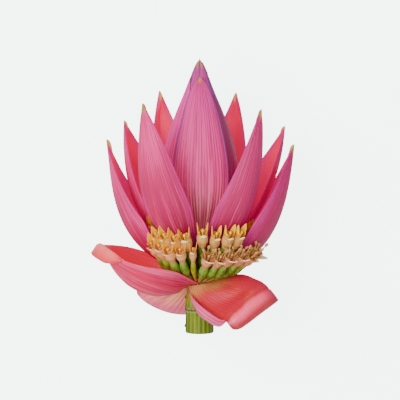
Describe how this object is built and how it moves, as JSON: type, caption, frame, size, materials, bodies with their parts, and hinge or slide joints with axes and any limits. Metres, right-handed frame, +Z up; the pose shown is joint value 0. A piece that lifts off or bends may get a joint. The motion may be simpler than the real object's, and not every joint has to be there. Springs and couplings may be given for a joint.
{
  "type": "banana blossom",
  "caption": "Cut flower head of an ornamental banana lying on its back: pink pointed bracts round a closed mauve bud, hands of yellow flowers, rolled-back lower bracts and a short green stem.",
  "frame": {"origin": "on the surface it lies on, under the middle of its bounding box", "axes": "+Y along the head's axis from the cut face of the stem to the tip of the bud, +Z up from the surface, +X to the right of the head seen from above"},
  "size_m": [0.1324, 0.18, 0.0959],
  "materials": {
    "stem": "matte ribbed skin",
    "bud": "satin with pale bloom",
    "bract_outside": "satin, fine lengthwise veins",
    "bract_inside": "satin, fine lengthwise veins",
    "reflexed": "glossy leathery",
    "reflexed_back": "satin, fanned ribs",
    "fresh_flower": "waxy",
    "old_flower": "waxy, drying"
  },
  "bodies": {
    "root": {"bract_back_left": "bract_inside", "bract_back_right": "bract_inside", "bract_front_left": "bract_outside", "bract_front_right": "bract_outside", "bract_left_inner": "bract_inside", "bract_left_outer": "bract_outside", "bract_right_inner": "bract_inside", "bract_right_outer": "bract_outside", "bud_heart": "bud", "bud_wrap_front": "bud", "bud_wrap_left": "bud", "bud_wrap_right": "bud", "flower_back_1": "old_flower", "flower_back_2": "old_flower", "flower_back_3": "old_flower", "flower_back_4": "old_flower", "flower_back_5": "old_flower", "flower_left_axil_1": "old_flower", "flower_left_lower_1": "old_flower", "flower_left_lower_2": "old_flower", "flower_left_lower_3": "old_flower", "flower_left_lower_4": "old_flower", "flower_left_lower_5": "old_flower", "flower_left_upper_1": "fresh_flower", "flower_left_upper_2": "fresh_flower", "flower_left_upper_3": "fresh_flower", "flower_left_upper_4": "fresh_flower", "flower_right_axil_1": "old_flower", "flower_right_lower_1": "old_flower", "flower_right_lower_2": "old_flower", "flower_right_lower_3": "old_flower", "flower_right_lower_4": "old_flower", "flower_right_lower_5": "old_flower", "flower_right_lower_6": "old_flower", "flower_right_upper_1": "fresh_flower", "flower_right_upper_2": "fresh_flower", "flower_right_upper_3": "fresh_flower", "flower_right_upper_4": "fresh_flower", "peduncle": "stem", "reflexed_bract_back": "reflexed_back", "reflexed_bract_left": "reflexed", "reflexed_bract_right": "reflexed"}
  },
  "joints": []
}
